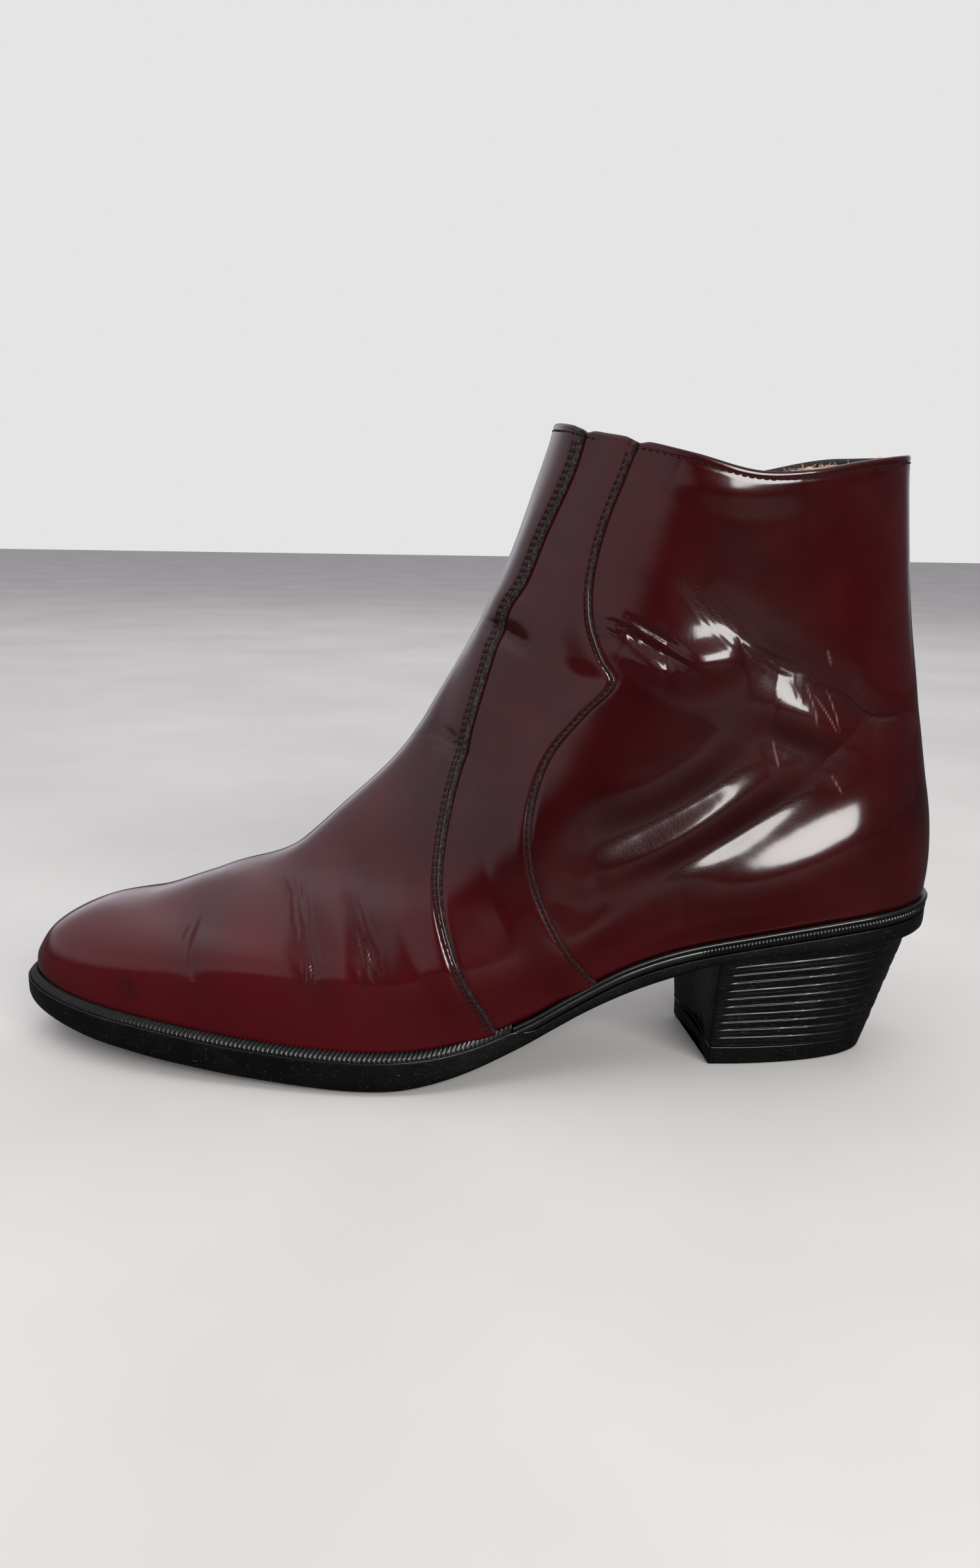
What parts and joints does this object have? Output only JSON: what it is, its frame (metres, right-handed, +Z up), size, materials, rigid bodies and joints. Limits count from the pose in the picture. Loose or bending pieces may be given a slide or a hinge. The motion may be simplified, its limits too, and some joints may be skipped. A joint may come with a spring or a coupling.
{
  "type": "ankle boot",
  "caption": "Left ankle boot with a slim rounded toe, stacked Cuban heel, glossy leather upper in seamed panels, pile lining and an inside zip.",
  "frame": {"origin": "on the ground, under the centre of the boot's box", "axes": "+Z up, -X towards the toe, -Y towards the outer side of the foot, +Y towards the inner side with the zip"},
  "size_m": [0.3006, 0.093, 0.202],
  "materials": {
    "burgundy_leather": "high gloss brushed-off burgundy",
    "flap_leather": "matt",
    "black_rubber": "moulded, semi-gloss",
    "pile_lining": "peach pile",
    "stiffener": "woven backing",
    "fibreboard": "pressed fibre",
    "cork": "ground cork",
    "foam": "foam",
    "steel": "spring steel",
    "zip_tape": "woven tape",
    "zip_metal": "aged brass"
  },
  "bodies": {
    "boot": {"vamp": "burgundy_leather", "outer_side_panel": "burgundy_leather", "outer_quarter": "burgundy_leather", "inner_side_panel": "burgundy_leather", "inner_quarter": "burgundy_leather", "toe_puff": "stiffener", "heel_counter": "stiffener", "outer_interlining": "stiffener", "inner_front_interlining": "stiffener", "inner_rear_interlining": "stiffener", "topline_tape": "stiffener", "vamp_lining": "pile_lining", "outer_shaft_lining": "pile_lining", "inner_shaft_lining": "pile_lining", "insole_sock": "pile_lining", "insole_board": "fibreboard", "cork_filler": "cork", "steel_shank": "steel", "heel_screw": "steel", "heel_cushion": "foam", "ribbed_welt": "black_rubber", "heel_rand": "black_rubber", "outsole": "black_rubber", "heel_block": "black_rubber", "heel_top_piece": "black_rubber", "zip_tape_front": "zip_tape", "zip_tape_rear": "zip_tape", "zip_teeth_front": "zip_metal", "zip_teeth_rear": "zip_metal", "zip_top_stop_front": "zip_metal", "zip_top_stop_rear": "zip_metal", "zip_bottom_stop": "zip_metal", "zip_flap": "flap_leather"},
    "slider": {"zip_slider": "zip_metal"},
    "pull": {"zip_pull": "zip_metal"}
  },
  "joints": [
    {"name": "zip_slide", "type": "slide", "parent": "boot", "child": "slider", "axis": [-0.1339, -0.0053, -0.991], "range_m": [0, 0.098]},
    {"name": "pull_swing", "type": "hinge", "parent": "slider", "child": "pull", "pos_m": [0.08452, 0.03576, 0.18152], "axis": [0.9837, -0.1216, -0.1323], "range_deg": [0, 160]}
  ]
}
